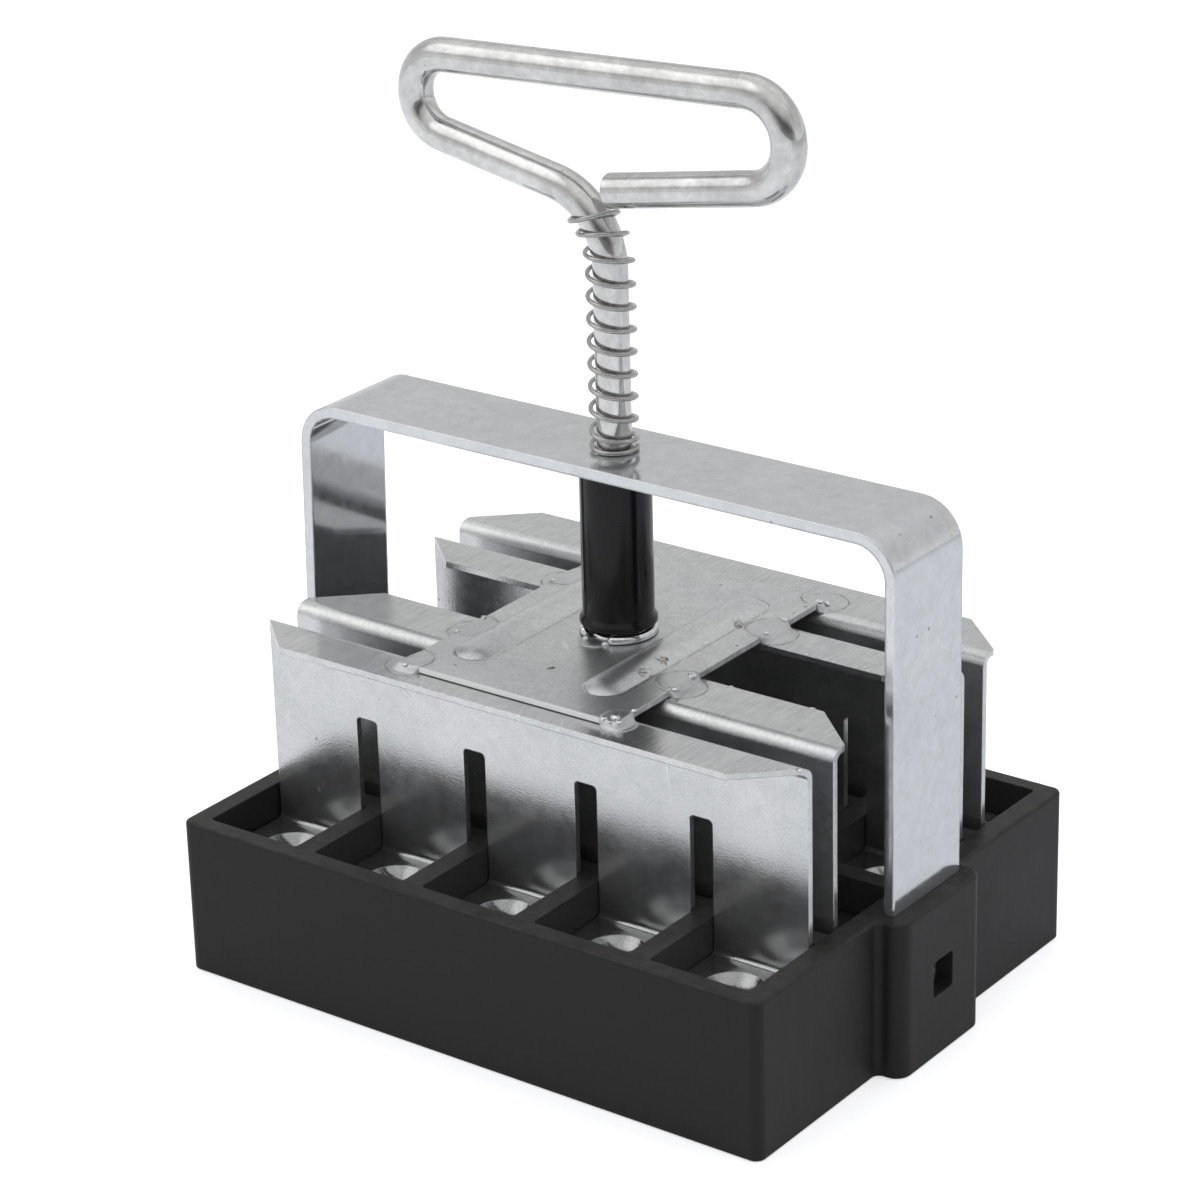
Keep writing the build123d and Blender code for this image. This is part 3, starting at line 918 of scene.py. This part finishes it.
@dataclass
class ReturnSpring:
    """The wire spring between the strap and the neck of the handle."""

    wire: float = 0.85
    coil_radius: float = 4.0
    turns: float = 11.5
    pitch: float = 4.05
    end_pitch: float = 2.4
    end_turns: float = 1.5
    flat_turns: float = 0.35
    tilt: float = 0.62
    foot: float = 98.525
    neck_height: float = 142.1
    neck_bend: float = 14.0
    arm_rise: float = 8.1
    arm_reach: float = 41.0
    steps: int = 36
    sides: int = 12
    end_bevel: float = 0.12
    rest_foot: float = 98.5
    rest_top: float = 140.5

    def centre(self, turn: float) -> Vector:
        """Centre of the wire after some turns from the strap, in millimetres.

        Args:
            turn: how many turns.

        Returns:
            The point.
        """
        neck_turn = math.pi / 2 - math.atan2(self.arm_rise, self.arm_reach)
        bend_start = self.neck_height - self.neck_bend * math.tan(neck_turn / 2)
        risen = max(turn, 0.0)
        close = min(risen, 1) + max(0.0, risen - (self.turns - self.end_turns))
        height = self.foot + self.end_pitch * close + self.pitch * (risen - close)
        above = min(max(height - bend_start, 0.0), self.neck_bend * math.sin(neck_turn))
        lean = math.asin(above / self.neck_bend)
        shift = self.neck_bend * (1 - math.cos(lean))
        angle = -math.pi / 2 - 2 * math.pi * turn
        across = self.coil_radius * math.cos(angle)
        return Vector((across * math.cos(self.tilt * lean) - shift,
                       self.coil_radius * math.sin(angle),
                       height + across * math.sin(self.tilt * lean)))

    def section(self, turn: float) -> Matrix:
        """Where the wire's round section stands after some turns.

        Args:
            turn: how many turns.

        Returns:
            Its place and turn, in metres.
        """
        along = (self.centre(turn + 0.002) - self.centre(turn - 0.002)).normalized()
        outward = Vector((0, 0, 1)).cross(along).normalized()
        upward = along.cross(outward)
        middle = self.centre(turn) * MM
        return Matrix.Translation(middle) @ Matrix((outward, upward, along)).transposed().to_4x4()

    def build(self, material: Material) -> None:
        """Sweeps the wire ring by ring and bends it between the strap and the handle.

        Args:
            material: the wire's finish.
        """
        bm = bmesh.new()
        ring_of = bm.verts.layers.int.new("ring")
        rings = [i / self.steps for i in range(round(-self.flat_turns * self.steps),
                                               round(self.turns * self.steps) + 1)]
        place = self.section(rings[0])
        bmesh.ops.create_circle(bm, cap_ends=False, segments=self.sides,
                                radius=self.wire / 2 * MM, matrix=place)
        first = list(bm.edges)
        last = list(bm.edges)
        for number, turn in enumerate(rings[1:], start=1):
            grown = bmesh.ops.extrude_edge_only(bm, edges=last)["geom"]
            verts = [item for item in grown if isinstance(item, bmesh.types.BMVert)]
            last = [item for item in grown if isinstance(item, bmesh.types.BMEdge)
                    and all(vert in verts for vert in item.verts)]
            new_place = self.section(turn)
            bmesh.ops.transform(bm, matrix=new_place @ place.inverted(), verts=verts)
            for vert in verts:
                vert[ring_of] = number
            place = new_place
        caps = [bmesh.ops.edgeloop_fill(bm, edges=loop)["faces"][0] for loop in (first, last)]
        for cap in caps:
            bmesh.ops.bevel(bm, geom=list(cap.edges), offset=self.end_bevel * MM,
                            offset_type="OFFSET", segments=2, profile=0.5, affect="EDGES",
                            material=-1)
        piece = finish_piece(bm, "spring_coils", material, None)
        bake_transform(piece, Body.FRAME.value, Body.PLUNGER.value,
                 start=(0, 0, self.rest_foot * MM), end=(0, 0, self.rest_top * MM))
        self._keep_round(piece)
        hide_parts("return_spring")

    @staticmethod
    def _keep_round(piece: Piece) -> None:
        """Gives all points of one section the same share, so the wire stays round.

        Args:
            piece: the coils, with the shares that the bend wrote.
        """
        rings = piece.data.attributes["ring"].data
        shares = piece.data.attributes["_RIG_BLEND"].data
        sums: dict[int, list[float]] = {}
        for ring, share in zip(rings, shares):
            sums.setdefault(ring.value, []).append(share.value)
        for ring, share in zip(rings, shares):
            values = sums[ring.value]
            share.value = sum(values) / len(values)


@dataclass
class CentrePlate:
    """The ribbed plate that joins the press plates, with its eight spot welds."""

    low: Vector
    high: Vector
    flange_top: float = 62.5
    thick: float = 1.2
    film: float = 0.06
    rim: float = 0.008
    sunk: float = 0.35
    bend: float = 2.4
    edge_gap: float = 0.05
    least_run: float = 0.15
    lump_pace: float = 0.8
    lump_floor: float = -0.04
    segments: int = 64
    rings: int = 14
    flanges: tuple[tuple[float, float, int], ...] = (
        (-36.5, -28.4, 1), (-17.3, -7.0, -1), (11.1, 19.2, 1), (30.3, 40.6, -1))

    def outside(self, x: float, y: float) -> float:
        """How far a point lies outside the plate's outline, 0 over the plate."""
        return math.hypot(max(self.low.x / MM - x, x - self.high.x / MM, 0.0),
                          max(self.low.y / MM - y, y - self.high.y / MM, 0.0))

    def flange(self, weld: WeldPlace, y: float) -> tuple[float, float]:
        """The nearest place on the top of a weld's flange.

        Args:
            weld: the weld.
            y: a place along Y.

        Returns:
            The nearest place along Y that the flange has, and its height there.
        """
        low, high, side = min(self.flanges,
                              key=lambda flange: abs(flange[0] + flange[1] - 2 * weld.y))
        start = low - self.bend / 2 if side < 0 else low + self.edge_gap
        end = high + self.bend / 2 if side > 0 else high - self.edge_gap
        held = min(max(y, start), end)
        past = max(low - held, held - high, 0.0)
        return held, self.flange_top - self.bend + math.sqrt(self.bend ** 2 - past ** 2)

    def surface(self, weld: WeldPlace, x: float, y: float) -> float:
        """Height of a weld's skin over a point.

        Args:
            weld: the weld.
            x: the point's place along X.
            y: its place along Y.

        Returns:
            The height.
        """
        reach = min(math.hypot(x - weld.x, y - weld.y) / weld.radius, 1.0)
        run = self.least_run + weld.run * (1 - reach ** 4)
        slope = 1 - smooth_step(self.outside(x, y) / run)
        ground = self.flange(weld, y)[1]
        film = self.film * (1 - reach ** 4) + self.rim
        lump = noise.noise(Vector((x, y, weld.x)) * self.lump_pace)
        lump *= weld.lumps * (1 - reach ** 2)
        top = self.flange_top + self.thick
        return ground + (top - ground) * slope + film + max(lump, self.lump_floor)

    def pad(self, bm: bmesh.types.BMesh, weld: WeldPlace) -> None:
        """Adds one weld: a disc inset ring by ring, and shaped over the plate's edge.

        Args:
            bm: the mesh of all the welds.
            weld: the weld.
        """
        before = set(bm.verts)
        spot = Matrix.Translation(Vector((weld.x, weld.y, self.flange_top - self.sunk)) * MM)
        made = bmesh.ops.create_circle(bm, cap_ends=True, segments=self.segments,
                                       radius=weld.radius * MM, matrix=spot)
        base = [face for face in bm.faces if not set(face.verts) & before]
        lifted = bmesh.ops.extrude_face_region(bm, geom=base)["geom"]
        top = [item for item in lifted if isinstance(item, bmesh.types.BMFace)]
        for _ in range(self.rings):
            bmesh.ops.inset_region(bm, faces=top, thickness=weld.radius * MM / (self.rings + 1),
                                   use_even_offset=True)
        bmesh.ops.poke(bm, faces=top)
        for vert in set(bm.verts) - before - set(made["verts"]):
            x, y = vert.co.x / MM, vert.co.y / MM
            if self.outside(x, y) > 0:
                y = self.flange(weld, y)[0]
                vert.co.y = y * MM
            vert.co.z = self.surface(weld, x, y) * MM

    def build(self, skin: Material, bright: Material) -> None:
        """Builds the eight welds.

        Args:
            skin: the plating that runs on over the pressed welds.
            bright: the weld metal of the beads.
        """
        pads, metal = bmesh.new(), bmesh.new()
        for weld in WELDS:
            self.pad(pads, weld)
            for x, y, radius in weld.beads:
                bead = Lump(3, 0.42, 1.7, (x, y, 3.0), (1.0, 1.0, 0.62))
                bead.build(metal, (x, y, self.surface(weld, x, y)), radius)
        pressed = finish_piece(pads, "weld_pads", skin, Body.PLUNGER)
        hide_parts("plate_welds")
        finish_piece(metal, "weld_beads", bright, Body.PLUNGER)


@dataclass
class RodFoot:
    """The bead of weld metal round the foot of the rod, broken at the front."""

    plate_top: float = 63.7
    ring_radius: float = 6.15
    tube_wide: float = 0.9
    tube_high: float = 0.98
    tube_rise: float = 0.72
    end_share: float = 0.35
    taper: float = 0.16
    swell: float = 0.07
    swell_pace: float = 2.6
    ripple: float = 0.015
    ripple_pace: float = 6.0
    gap_middle: float = math.radians(-97.0)
    gap_half: float = math.radians(22.0)
    collar_radii: tuple[float, float] = (5.9, 4.6)
    collar_height: float = 1.1
    collar_rise: float = 0.45
    steps: int = 150
    sides: int = 18
    puddle: tuple[tuple[float, float, float, float], ...] = (
        (-0.5, -7.0, 2.2, 0.4), (1.8, -6.4, 0.75, 0.75), (-2.7, -6.1, 0.75, 0.7))

    def build(self, material: Material, skin: Material) -> None:
        """Spins the bead, tapers its ends and adds the frozen puddle before it.

        Args:
            material: the weld metal.
            skin: the duller metal of the puddle.
        """
        bm = bmesh.new()
        centre_height = (self.plate_top + self.tube_high * self.tube_rise) * MM
        spot = (Matrix.Rotation(self.gap_middle + self.gap_half, 4, "Z")
                @ Matrix.Translation((self.ring_radius * MM, 0, centre_height))
                @ Matrix.Rotation(math.pi / 2, 4, "X"))
        bmesh.ops.create_circle(bm, cap_ends=False, segments=self.sides,
                                radius=self.tube_wide * MM, matrix=spot)
        loop = list(bm.edges)
        spun = bmesh.ops.spin(bm, geom=list(bm.verts) + loop, cent=(0, 0, 0), axis=(0, 0, 1),
                              angle=2 * math.pi - 2 * self.gap_half, steps=self.steps,
                              use_merge=False)
        last = [item for item in spun["geom_last"] if isinstance(item, bmesh.types.BMEdge)]
        for ends in (loop, last):
            bmesh.ops.edgeloop_fill(bm, edges=ends)
        for vert in bm.verts:
            angle = math.atan2(vert.co.y, vert.co.x)
            away = abs((angle - self.gap_middle + math.pi) % (2 * math.pi) - math.pi)
            eased = smooth_step((away - self.gap_half) / self.taper)
            thin = self.end_share + (1 - self.end_share) * eased
            swell = 1 + self.swell * noise.noise(Vector((angle * self.swell_pace, 1.0, 4.0)))
            swell += self.ripple * noise.noise(Vector((angle * self.ripple_pace, 7.0, 0.0)))
            middle = Vector((math.cos(angle), math.sin(angle), 0)) * self.ring_radius * MM
            middle.z = centre_height
            low = (1 - thin) * 0.5 * self.tube_high * MM
            vert.co = middle + (vert.co - middle) * thin * swell - Vector((0, 0, low))
        self._collar(bm)
        self._puddle(skin)
        piece = finish_piece(bm, "rod_foot_bead", material, Body.PLUNGER)
        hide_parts("rod_weld")

    def _collar(self, bm: bmesh.types.BMesh) -> None:
        """Adds the fillet of metal between the rod and the ring to the bead's mesh."""
        low, high = self.collar_radii
        bmesh.ops.create_cone(
            bm, cap_ends=True, segments=64, radius1=low * MM, radius2=high * MM,
            depth=self.collar_height * MM,
            matrix=Matrix.Translation((0, 0, (self.plate_top + self.collar_rise) * MM)))

    def _puddle(self, skin: Material) -> None:
        """Builds the flat puddle in front of the gap.

        Args:
            skin: its finish.
        """
        bm = bmesh.new()
        for x, y, radius, high in self.puddle:
            drop = Lump(4, 0.2, 0.5, (3.0, x, y), (1.0, 1.0, high / radius))
            drop.build(bm, (x, y, self.plate_top), radius)
        finish_piece(bm, "rod_foot_puddle", skin, Body.PLUNGER)


@dataclass
class FlangeBurrs:
    """The tiny burrs that shearing and plating left on the flanges' edges."""

    top: float = 62.35
    places: tuple[Triple, ...] = (
        (28.8, -6.95, 0.34), (45.5, -6.95, 0.42), (31.9, 11.55, 0.36), (57.2, -28.4, 0.5),
        (-36.0, -35.95, 0.3), (-41.0, -36.1, 0.22), (37.5, 11.5, 0.24))

    def build(self, material: Material) -> None:
        """Builds the burrs.

        Args:
            material: their finish.
        """
        bm = bmesh.new()
        for x, y, radius in self.places:
            Lump(2, 0.5, 2.2, (x, y, 0), (1.4, 1.0, 0.8)).build(bm, (x, y, self.top), radius)
        finish_piece(bm, "flange_burrs", material, Body.PLUNGER)


@dataclass(frozen=True)
class Lamp:
    """A soft round lamp: its place and size in metres, and its power in watts."""

    name: str
    place: Triple
    size: float
    power: float


@dataclass
class Studio:
    """The pale floor, the soft lights and the camera."""

    floor_half: float = 6000.0
    floor_drop: float = 0.1
    floor_colour: float = 0.8
    floor_rough: float = 0.9
    floor_glow: float = 0.55
    glow_toward: Triple = (0.6, 0.8, 0)
    glow_span: tuple[float, float] = (-0.1, 0.2)
    near_glow: Triple = (0.29, 0.30, 0.315)
    far_glow: Triple = (0.09, 0.10, 0.118)
    fill: Triple = (0.595, 0.605, 0.635)
    tent_low: float = 0.85
    tent_high: float = 0.66
    tent_top: float = 0.3
    box_toward: Triple = (-0.53, -0.47, 0.71)
    box_glow: float = 0.7
    front_toward: Triple = (0.6, -0.8, 0.0)
    front_dark: float = 0.6
    focal_pixels: float = 3976.47
    frame_pixels: float = 1200
    sensor: float = 36
    eye: Triple = (384.781, -518.650, 339.620)
    across: Triple = (0.80595701, 0.59147005, -0.02442281)
    up: Triple = (-0.21011561, 0.32439357, 0.92229076)
    aim: Triple = (0, 0, 60.0)
    lamps: tuple[Lamp, ...] = (
        Lamp("lamp_above", (-0.15, 0.1, 1.3), 1.3, 5.0),
        Lamp("lamp_left", (-1.1, -0.7, 0.8), 0.9, 2.2),
        Lamp("lamp_right", (1.0, 0.3, 0.9), 0.9, 2.2),
    )

    def floor(self) -> None:
        """Builds the floor, white to the camera and dim to the metal, with the shadow kept."""
        bm = bmesh.new()
        bmesh.ops.create_grid(bm, x_segments=1, y_segments=1, size=self.floor_half * MM)
        mesh = bpy.data.meshes.new("floor")
        bm.to_mesh(mesh)
        bm.free()
        floor = bpy.data.objects.new("floor", mesh)
        floor.location.z = -self.floor_drop * MM
        bpy.context.scene.collection.objects.link(floor)
        white = Surface("floor_white")
        white.inputs["Base Color"].default_value = (self.floor_colour,) * 3 + (1,)
        white.inputs["Roughness"].default_value = self.floor_rough
        white.inputs["Specular IOR Level"].default_value = 0.0
        white.inputs["Emission Strength"].default_value = 1.0
        glossy, clear = white.rays()
        along = white.vector("DOT_PRODUCT", white.coords, self.glow_toward)
        far = white.ramp(along, *self.glow_span)
        mirrored = white.mix(far, self.near_glow, self.far_glow)
        mirrored = white.mix(glossy, (0, 0, 0), mirrored)
        glow = white.mix(clear, mirrored, (self.floor_glow,) * 3)
        white.put(white.inputs["Emission Color"], glow)
        mesh.materials.append(white.material)
        floor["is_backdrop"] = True

    def world(self) -> None:
        """Builds the surroundings: white to the camera, a soft tent to the metal."""
        world = bpy.data.worlds.new("studio")
        world.use_nodes = True
        bpy.context.scene.world = world
        graph = Graph(world.node_tree)
        background = world.node_tree.nodes["Background"]
        direction = graph.add("TexCoord").outputs["Generated"]
        height = graph.parts(direction)[2]
        tent = graph.ramp(height, 0.0, 0.3, self.tent_low, self.tent_high)
        top = graph.ramp(height, 0.5, 0.85, 0.0, self.tent_top)
        box = graph.vector("DOT_PRODUCT", direction, self.box_toward)
        box = graph.ramp(box, 0.86, 0.97, 0.0, self.box_glow)
        tent = graph.math("ADD", graph.math("ADD", tent, top), box)
        front = graph.vector("DOT_PRODUCT", direction, self.front_toward)
        dark = graph.times(graph.ramp(front, 0.55, 0.95),
                           graph.ramp(height, 0.6, 0.2, 0.0, self.front_dark))
        glossy, clear = graph.rays()
        lit = graph.mix(glossy, self.fill, graph.grey(graph.minus(tent, dark)))
        graph.put(background.inputs["Color"], graph.mix(clear, lit, (1, 1, 1)))
        background.inputs["Strength"].default_value = 1.0

    def light(self) -> None:
        """Hangs the soft lamps, each turned to the object."""
        for lamp in self.lamps:
            light = bpy.data.lights.new(lamp.name, "AREA")
            light.shape = "DISK"
            light.size = lamp.size
            light.energy = lamp.power
            holder = bpy.data.objects.new(lamp.name, light)
            holder.location = lamp.place
            toward = Vector(self.aim) * MM - Vector(lamp.place)
            holder.rotation_euler = toward.to_track_quat("-Z", "Y").to_euler()
            holder.visible_glossy = False
            bpy.context.scene.collection.objects.link(holder)

    def camera(self) -> None:
        """Sets the camera where the photograph was taken from."""
        lens = bpy.data.cameras.new("camera")
        lens.sensor_width = self.sensor
        lens.lens = self.focal_pixels / self.frame_pixels * self.sensor
        lens.clip_start = 0.01
        across, up = Vector(self.across), Vector(self.up)
        turn = Matrix((across, up, across.cross(up))).transposed().to_4x4()
        holder = bpy.data.objects.new("camera", lens)
        holder.matrix_world = Matrix.Translation(Vector(self.eye) * MM) @ turn
        bpy.context.scene.collection.objects.link(holder)
        bpy.context.scene.camera = holder

    def build(self) -> None:
        """Builds the whole studio."""
        self.floor()
        self.world()
        self.light()
        self.camera()
        bpy.context.scene.view_settings.view_transform = "Standard"


def main() -> list[list[float]]:
    """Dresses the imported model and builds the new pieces.

    Returns:
        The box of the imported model, lowest and highest corner.
    """
    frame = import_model()
    cad_box = [list(corner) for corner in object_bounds()]
    nodes = frame["nodes"]
    effects = Effects()
    sheet = ZincFinish("sheet_zinc_skin", bend_rough=0.18, foot_shade_tone=0.52, edge_highlight_share=0.2,
                       ragged=0.85, welded=True)
    pad = replace(sheet, name="weld_pad_skin", smooth=0.26, rough=0.34, foot_shade_tone=None)
    plate = ZincFinish("centre_plate_skin", smooth=0.27, rough=0.36, grain_height=0.005,
                       grain_stretch=(1.0, 0.35, 1.0), pit_share=0.22, edge_radius=0.3,
                       side_metallic=0.05, gap_shadow_height=62.69, welded=True, stained_and_crease_shaded=True)
    strap = ZincFinish("strap_zinc_skin", bright=(0.69, 0.696, 0.705),
                       dull=(0.61, 0.625, 0.645), metallic=0.85, smooth=0.06, rough=0.12,
                       pit_share=0.14, scratch_share=0.3, grain_scale=1800.0,
                       grain_stretch=(1.0, 1.0, 0.4), grain_height=0.003, grain_tint=0.05,
                       edge_radius=0.7, ragged=0.15)
    rod = ZincFinish("rod_zinc_skin", bright=(0.70, 0.70, 0.69), dull=(0.50, 0.50, 0.49),
                     metallic=0.95, patch_scale=80.0, patch_contrast=2.0, smooth=0.05,
                     rough=0.11, grain_scale=1500.0, grain_stretch=(0.3, 1.0, 0.3),
                     grain_height=0.003, wave_scale=300.0, edge_radius=0.2, edge_highlight_share=0.1,
                     ragged=0.0)
    wire = ZincFinish("spring_steel_skin", bright=(0.47, 0.47, 0.46),
                      dull=(0.36, 0.36, 0.35), metallic=0.97, patch_scale=200.0, smooth=0.1,
                      rough=0.17, grain_scale=3000.0, grain_stretch=(1.0, 1.0, 1.0),
                      grain_height=0.002, wave_height=0.004, edge_highlight_share=0.0, ragged=0.0,
                      pit_share=0.0)
    weld = ZincFinish("weld_metal_skin", bright=(0.80, 0.81, 0.82), dull=(0.64, 0.65, 0.66),
                      metallic=0.98, patch_scale=260.0, smooth=0.05, rough=0.12,
                      grain_scale=1200.0, grain_stretch=(1.0, 1.0, 1.0),
                      grain_height=0.001, wave_scale=200.0, wave_height=0.015,
                      edge_highlight_share=0.0, ragged=0.0, pit_share=0.0)
    dress(nodes, ("mould",), MouldPlastic().material(effects))
    dress(nodes, ("strap",), strap.material(effects))
    dress(nodes, tuple(f"press_plate_{row}" for row in range(1, 5)), sheet.material(effects))
    dress(nodes, ("centre_plate",), plate.material(effects))
    dress(nodes, ("handle_rod",), rod.material(effects))
    dress(nodes, ("stop_sleeve",), SleevePlastic().material(effects))
    weld_skin = weld.material(effects)
    pad_skin = pad.material(effects)
    ReturnSpring().build(wire.material(effects))
    CentrePlate(*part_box("centre_plate")).build(pad_skin, weld_skin)
    RodFoot().build(weld_skin, pad_skin)
    FlangeBurrs().build(weld_skin)
    Studio().build()
    return cad_box


if __name__ == "__main__":
    logging.basicConfig(level=logging.INFO, format="%(name)s: %(message)s")
    packed_box = main()
